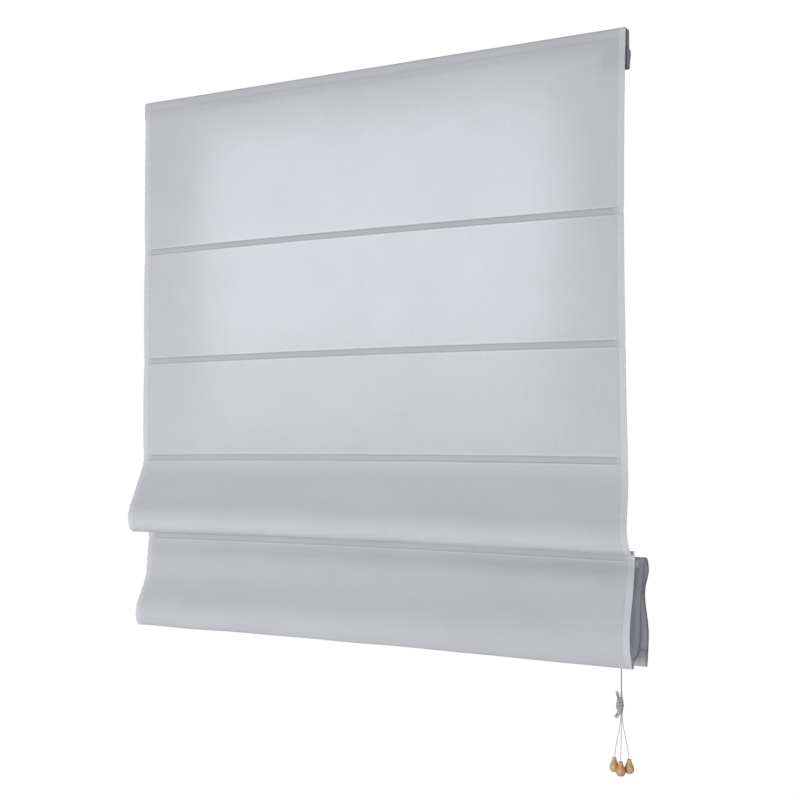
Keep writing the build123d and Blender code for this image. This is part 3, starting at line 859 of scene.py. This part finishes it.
def dashes(f, along, pitch, share=0.68):
    """1 on each stitch of a row of stitches, 0 between them."""
    cycle = f.math("FRACT", f.math("DIVIDE", along, pitch))
    away = f.math("ABSOLUTE", f.math("SUBTRACT", cycle, 0.5))
    return f.range(away, share / 2 - 0.06, share / 2 + 0.06, 1.0, 0.0, smooth=True)


def weave_height(f, u, v, pitch):
    """Plain weave: each thread passes over one and under the next."""
    across = f.math("SINE", f.times(u, math.pi / pitch))
    down = f.math("SINE", f.times(v, math.pi / pitch))
    crossing = f.times(across, down)
    return f.times_add(crossing, 0.5, 0.5)


def cloth_material(name, base, banded=True, see_through=0.50, painted_edge_shade=0.0):
    f = Finish(name)
    cut, u, v, d = cut_coordinates(f)
    level = f.math("ABSOLUTE", d)
    side = f.math("ABSOLUTE", u)
    weave = weave_height(f, u, v, 0.00065)
    slub_down = f.noise(cut, 1.0, 3.0, 0.6, (420.0, 16.0, 0.0))
    slub_across = f.noise(cut, 1.0, 3.0, 0.6, (16.0, 420.0, 0.0))
    slubs = f.add(slub_down, slub_across)
    clouds = f.noise(cut, 5.0, 4.0, 0.6, (1.0, 1.0, 0.0))
    patches = f.vary(clouds, -0.018, 0.018)
    shade = f.add(f.range(slubs, 0.7, 1.3, 0.972, 1.02), patches)
    # painted shade: the weave is darker where its threads dip under and lighter where they cross over,
    # following its bump
    shade = f.add(shade, f.range(weave, 0.0, 1.0, -0.012, 0.012))
    stitch_marks = []
    if banded:
        between = f.range(side, HALF_WIDTH - 0.0225, HALF_WIDTH - 0.0195, 1.0, 0.0, smooth=True)
        # painted shade: each batten band is darkened, standing in for the shade the batten and its
        # pocket cast behind the cloth
        band = f.range(level, BAND - 0.0006, BAND + 0.0004, 1.0, 0.0, smooth=True)
        band = f.times(band, between)
        # painted shade: a dark line along each seam of the band, in the groove the geometry presses
        # there
        seam = f.times(line_at(f, level, BAND, 0.0019), between)
        # painted highlight: a lighter strip just beyond each seam, for light on the cloth's shoulder
        # beside the band
        beside = f.times(line_at(f, level, BAND + 0.0036, 0.0024), between)
        hem = f.range(side, HALF_WIDTH - HEM - 0.0006, HALF_WIDTH - HEM + 0.0006, 0.0, 1.0, smooth=True)
        # painted shade: dark lines along the side hems' and the top hem's seams, in their grooves
        hem_seam = line_at(f, side, HALF_WIDTH - HEM, 0.0014)
        top_seam = line_at(f, v, TOP_HEM, 0.0016)
        # the band and its seam lines are painted shade, the strip beside them a painted highlight
        shade = f.times_add(band, -0.060, shade)
        shade = f.times_add(seam, -0.13, shade)
        shade = f.times_add(beside, 0.07, shade)
        shade = f.times_add(hem, 0.075, shade)
        shade = f.times_add(hem_seam, -0.06, shade)
        if painted_edge_shade:
            # painted shade: the outer few millimetres of the layer are darkened, for the shade in the
            # gaps between the folded layers
            rim = f.range(side, HALF_WIDTH - 0.0050, HALF_WIDTH - 0.0022, 0.0, 1.0, smooth=True)
            shade = f.times_add(rim, -painted_edge_shade, shade)
        shade = f.times_add(top_seam, -0.05, shade)
        across, down = dashes(f, u, 0.0031), dashes(f, v, 0.0031)
        stitch_marks = [
            f.times(f.times(line_at(f, level, BAND, 0.00045), across), between),
            f.times(line_at(f, side, HALF_WIDTH - HEM, 0.00045), down),
            f.times(line_at(f, v, TOP_HEM, 0.00045), across),
        ]
    else:
        across = dashes(f, u, 0.0031)
        stitch_marks = [f.times(line_at(f, level, 0.0066, 0.00045), across)]
    thread = stitch_marks[0]
    for mark in stitch_marks[1:]:
        thread = f.math("MAXIMUM", thread, mark)
    shade = f.times_add(thread, 0.09, shade)
    colour = f.shaded(base, shade)
    height = f.add(f.times(weave, 0.00010), f.times(slubs, 0.00008))
    height = f.times_add(thread, 0.00030, height)
    fuzz = f.noise(cut, 2600.0, 2.0, 0.5)
    height = f.times_add(fuzz, 0.00003, height)
    normal = f.bump(height, 0.85)
    rough = f.range(slubs, 0.7, 1.3, 0.94, 0.86)
    shader = f.principled(colour, rough, normal, Specular_IOR_Level=0.25, Sheen_Weight=0.25,
                          Sheen_Roughness=0.5)
    if not see_through:
        return f.finish(shader)
    glow = f.node("ShaderNodeBsdfTranslucent", {"Color": colour, "Normal": normal})
    mix = f.node("ShaderNodeMixShader", {0: see_through, 1: (shader, "BSDF"), 2: (glow, "BSDF")})
    return f.finish(mix, "Shader")


def braided_cord(name, base):
    """Round braid: two sets of strands wound in opposite directions."""
    f = Finish(name)
    _, s, c, n = cut_coordinates(f, "braid")
    angle = f.math("ARCTAN2", n, c)
    turn = f.times(angle, 4.0)
    run = f.times(s, 2 * math.pi / 0.0011)
    one = f.math("SINE", f.add(run, turn))
    other = f.math("SINE", f.math("SUBTRACT", run, turn))
    braid = f.times_add(f.math("MAXIMUM", one, other), 0.5, 0.5)
    place = position(f)
    wear = f.noise(place, 60.0, 4.0, 0.6)
    # painted shade: darker in the valleys between the braid's strands and lighter on their crests,
    # following its bump
    shade = f.add(f.range(braid, 0.0, 1.0, 0.80, 1.04), f.vary(wear, -0.04, 0.04))
    colour = f.shaded(base, shade)
    normal = f.bump(f.times(braid, 0.00016), 0.9)
    return f.finish(f.principled(colour, 0.72, normal, Sheen_Weight=0.2, Specular_IOR_Level=0.35))


def moulded(name, base, roughness=0.42, speckle=0.03, grain=900.0, clear=0.0):
    """Moulded plastic: faint flow marks, a fine matt texture and handling marks."""
    f = Finish(name)
    place = position(f)
    flow = f.noise(place, 22.0, 4.0, 0.55, (1.0, 1.0, 0.35))
    fine = f.noise(place, grain, 3.0, 0.6)
    marks = f.noise(place, 140.0, 5.0, 0.7, (1.0, 1.0, 5.0))
    scuffs = f.range(marks, 0.58, 0.75, 0.0, speckle * 1.5)
    shade = f.add(f.vary(flow, 1 - speckle, 1 + speckle), scuffs)
    colour = f.shaded(base, shade)
    rough = f.range(marks, 0.3, 0.75, roughness - 0.05, roughness + 0.09)
    normal = f.bump(f.times_add(flow, 0.00004, f.times(fine, 0.00003)), 0.7)
    see_through = {"Transmission_Weight": clear, "IOR": 1.49} if clear else {}
    return f.finish(f.principled(colour, rough, normal, **see_through))


def metal(name, base, roughness, stretch):
    """Drawn or plated metal with fine lines along its length and soft blotches."""
    f = Finish(name)
    place = position(f)
    lines = f.noise(place, 1.0, 3.0, 0.6, stretch)
    blotch = f.noise(place, 35.0, 4.0, 0.6)
    shade = f.add(f.vary(lines, 0.95, 1.04), f.vary(blotch, -0.04, 0.04))
    colour = f.shaded(base, shade)
    rough = f.vary(blotch, roughness - 0.06, roughness + 0.08)
    normal = f.bump(f.times(lines, 0.00003), 0.6)
    return f.finish(f.principled(colour, rough, normal, Metallic=1.0))


def powder_coat(name, base):
    """Satin powder-coated aluminium: orange peel and faint lines of the drawn section."""
    f = Finish(name)
    place = position(f)
    peel = f.noise(place, 620.0, 2.0, 0.45)
    drawn = f.noise(place, 1.0, 2.0, 0.5, (0.6, 260.0, 260.0))
    dust = f.noise(place, 9.0, 4.0, 0.6, (0.3, 1.0, 1.0))
    shade = f.add(f.vary(dust, 0.965, 1.015), f.vary(drawn, -0.01, 0.01))
    colour = f.shaded(base, shade)
    normal = f.bump(f.times_add(drawn, 0.00003, f.times(peel, 0.00003)), 0.6)
    rough = f.vary(dust, 0.36, 0.46)
    return f.finish(f.principled(colour, rough, normal))


def fibre_rod(name, base):
    """Pultruded glass fibre: fine fibres along X."""
    f = Finish(name)
    place = position(f)
    fibres = f.noise(place, 1.0, 3.0, 0.6, (6.0, 2600.0, 2600.0))
    long = f.noise(place, 1.0, 3.0, 0.6, (1.2, 420.0, 420.0))
    shade = f.add(f.vary(fibres, 0.90, 1.05), f.vary(long, -0.04, 0.04))
    colour = f.shaded(base, shade)
    normal = f.bump(f.times(fibres, 0.00004), 0.8)
    return f.finish(f.principled(colour, 0.38, normal))


def tape_material(name, base, hooks):
    """Hook or loop tape: a dense pile of little hooks or a soft brushed nap."""
    f = Finish(name)
    place = position(f)
    pile = f.node("ShaderNodeTexVoronoi", {"Vector": place, "Scale": 900.0 if hooks else 1400.0})
    nap = f.noise(place, 700.0, 4.0, 0.7)
    fluff = f.vary(nap, -0.05, 0.05)
    # painted shade: darker towards the gaps between the hooks or loops and lighter on their tops,
    # following the bump
    shade = f.add(f.range((pile, "Distance"), 0.0, 0.6, 1.06, 0.82), fluff)
    colour = f.shaded(base, shade)
    height = f.range((pile, "Distance"), 0.0, 0.6, 0.00025 if hooks else 0.00012, 0.0)
    normal = f.bump(height, 0.9)
    return f.finish(f.principled(colour, 0.85, normal, Sheen_Weight=0.2))


def turned_wood(name, base, dark, light):
    """Beech, turned and waxed: grain along Z, growth rings, short flecks and faint tool marks."""
    f = Finish(name)
    place = position(f)
    bend = f.noise(place, 45.0, 3.0, 0.5, (1.0, 1.0, 0.5))
    parts = f.node("ShaderNodeSeparateXYZ", {0: place})
    across = f.times_add((parts, "Y"), 0.55, (parts, "X"))
    across = f.times_add(bend, 0.0040, across)
    rings = f.math("SINE", f.times(across, 2 * math.pi / 0.0021))
    rings = f.times_add(rings, 0.5, 0.5)
    fibres = f.noise(place, 1.0, 4.0, 0.65, (2400.0, 2400.0, 90.0))
    flecks = f.noise(place, 1.0, 2.0, 0.5, (3200.0, 1400.0, 420.0))
    tint = f.times_add(rings, 0.45, f.vary(fibres, 0.0, 0.55), clamp=True)
    colour = f.mix_colour(tint, dark, light)
    fleck_colour = (dark[0] * 0.6, dark[1] * 0.55, dark[2] * 0.5, 1)
    colour = f.mix_colour(f.range(flecks, 0.60, 0.68, 0.0, 0.35), colour, fleck_colour)
    broad = f.noise(place, 18.0, 2.0, 0.5)
    colour = f.mix_colour(f.range(broad, 0.35, 0.65, 0.0, 0.45), colour, base)
    tool = f.math("SINE", f.times((parts, "Z"), 2 * math.pi / 0.0009))
    height = f.times_add(tool, 0.000008, f.times(fibres, 0.00005))
    normal = f.bump(height, 0.8)
    rough = f.vary(fibres, 0.36, 0.5)
    return f.finish(f.principled(colour, rough, normal, Coat_Weight=0.12, Coat_Roughness=0.3))


def use(material, *pieces):
    for piece in pieces:
        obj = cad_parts[piece] if isinstance(piece, str) else piece
        obj.data.materials.clear()
        obj.data.materials.append(material)


CLOTH = (0.632, 0.642, 0.668, 1)
cloth = cloth_material("blind_cloth", CLOTH)
lining = cloth_material("pocket_tape", (0.66, 0.67, 0.69, 1), banded=False, see_through=0.15)
pull_cord = braided_cord("pull_cord_braid", (0.37, 0.38, 0.41, 1))
lift_cord = braided_cord("lift_cord_braid", (0.66, 0.67, 0.68, 1))
sewing_thread = braided_cord("sewing_thread", (0.68, 0.69, 0.70, 1))
slate = moulded("slate_plastic", (0.050, 0.062, 0.078, 1), 0.42, 0.06)
white_plastic = moulded("white_plastic", (0.74, 0.74, 0.72, 1), 0.38, 0.025)
ring_plastic = moulded("ring_plastic", (0.80, 0.80, 0.78, 1), 0.22, 0.02, clear=0.35)
plated = metal("zinc_plate", (0.62, 0.63, 0.64, 1), 0.34, (30.0, 700.0, 700.0))
pin_steel = metal("pin_steel", (0.56, 0.57, 0.58, 1), 0.26, (700.0, 20.0, 700.0))
bar_metal = metal("bar_aluminium", (0.72, 0.73, 0.74, 1), 0.36, (4.0, 900.0, 900.0))
rail_finish = powder_coat("rail_powder_coat", (0.70, 0.71, 0.72, 1))
rod_finish = fibre_rod("batten_fibre", (0.72, 0.71, 0.66, 1))
hook_finish = tape_material("hook_tape_pile", (0.62, 0.62, 0.61, 1), hooks=True)
loop_finish = tape_material("loop_tape_nap", (0.68, 0.68, 0.67, 1), hooks=False)
wood = turned_wood(
    "acorn_beech", (0.46, 0.285, 0.140, 1), (0.41, 0.24, 0.112, 1), (0.50, 0.32, 0.162, 1))
red_wood = turned_wood(
    "acorn_beech_warm", (0.42, 0.225, 0.110, 1), (0.375, 0.19, 0.090, 1), (0.46, 0.26, 0.132, 1))

use(cloth, *(entry[0] for entry in CLOTHS.values()))
# the return and back layers carry painted shade along their side edges
use(cloth_material("blind_cloth_behind", CLOTH, painted_edge_shade=0.42), turned_back, behind)
use(lining, *pockets)
use(sewing_thread, *threads)
use(rod_finish, *rods)
use(pull_cord, knot, "acorn_end_knots", *pull_cords.values(), *tails.values())
use(lift_cord, *lift_cords)
use(rail_finish, "headrail")
use(slate, "end_cap_left", "end_cap_right", "lock_body", "bottom_bar_caps")
use(plated, "bracket_left", "bracket_right")
use(hook_finish, "hook_tape")
use(loop_finish, "loop_tape")
use(white_plastic, *(f"cord_guide_{side}" for side in SIDES), "lock_pulley", "cord_stops")
use(pin_steel, "guide_pins", "lock_pin", "lock_roller")
use(ring_plastic, *(f"cord_rings_{k}" for k in (1, 2, 3, 4, 6)))
use(bar_metal, "bottom_bar")
use(wood, "acorn_left", "acorn_right")
use(red_wood, "acorn_middle")


# ---- floor and light -----------------------------------------
FLOOR_Z = -2.42          # clear below the acorns when the blind is drawn right up


def make_floor():
    sides, radius = 96, 2.1
    turns = [2 * math.pi * k / sides for k in range(sides)]
    rim = [(radius * math.cos(a), radius * math.sin(a), FLOOR_Z) for a in turns]
    vertices = [(0, 0, FLOOR_Z), *rim]
    faces = [(0, k + 1, (k + 1) % sides + 1) for k in range(sides)]
    floor = mesh_object("floor", vertices, faces, smooth=False)
    f = Finish("pale_floor")
    place = position(f)
    cloud = f.noise(place, 1.6, 3.0, 0.5)
    shade = f.vary(cloud, 0.80, 0.83)
    use(f.finish(f.principled(f.grey(shade), 0.8)), floor)


def make_world():
    world = bpy.data.worlds.new("studio")
    bpy.context.scene.world = world
    world.use_nodes = True
    tree = world.node_tree
    tree.nodes.clear()
    path = tree.nodes.new("ShaderNodeLightPath")
    mix = tree.nodes.new("ShaderNodeMixShader")
    out = tree.nodes.new("ShaderNodeOutputWorld")
    tree.links.new(path.outputs["Is Camera Ray"], mix.inputs[0])
    # what lights the blind, then what the camera sees
    for socket, colour, strength in ((1, (0.96, 0.98, 1.0, 1), 0.34), (2, (1, 1, 1, 1), 1.0)):
        ground = tree.nodes.new("ShaderNodeBackground")
        ground.inputs["Color"].default_value = colour
        ground.inputs["Strength"].default_value = strength
        tree.links.new(ground.outputs[0], mix.inputs[socket])
    tree.links.new(mix.outputs[0], out.inputs["Surface"])


def area_light(name, place, target, size, power, colour=(1, 1, 1), spread=180.0):
    data = bpy.data.lights.new(name, "AREA")
    data.shape = "RECTANGLE"
    data.size, data.size_y = size
    data.energy = power
    data.color = colour
    data.spread = math.radians(spread)
    light = bpy.data.objects.new(name, data)
    light.location = place
    light.rotation_euler = (Vector(target) - Vector(place)).to_track_quat("-Z", "Y").to_euler()
    light.visible_camera = False
    bpy.context.scene.collection.objects.link(light)


make_floor()
make_world()
WARM = (1.0, 0.985, 0.965)
area_light("key", (-1.1, -3.4, -1.25), (0, 0, -0.9), (2.6, 1.6), 98.0, WARM)
area_light("low", (-0.3, -3.0, -1.75), (0, 0, -1.15), (2.2, 0.6), 25.0, WARM)
area_light("top", (0.3, -2.2, 1.6), (0, 0, -0.7), (2.4, 1.6), 20.0, (1.0, 0.99, 0.98))
area_light("side", (3.2, -1.4, -1.2), (0.6, 0, -1.05), (1.2, 1.2), 24.0)
area_light("back_fill", (0.5, 3.2, 0.6), (0, 0, -0.8), (2.4, 2.0), 22.0)
# daylight through the window behind the cloth, fading downward: height, tall and power of each
DAYLIGHT = (0.98, 1.0, 0.965)
WINDOW_X, WINDOW_Y, WINDOW_WIDE, WINDOW_SPREAD = 0.02, 0.11, 0.90, 105.0
for name, z, tall, power in (("high", -0.245, 0.30, 1.06), ("middle", -0.50, 0.24, 0.80),
                             ("low", -0.71, 0.16, 0.24)):
    area_light(f"window_{name}", (WINDOW_X, WINDOW_Y, z), (WINDOW_X, 0, z), (WINDOW_WIDE, tall), power,
               DAYLIGHT, WINDOW_SPREAD)

bpy.context.scene.view_settings.view_transform = "Standard"
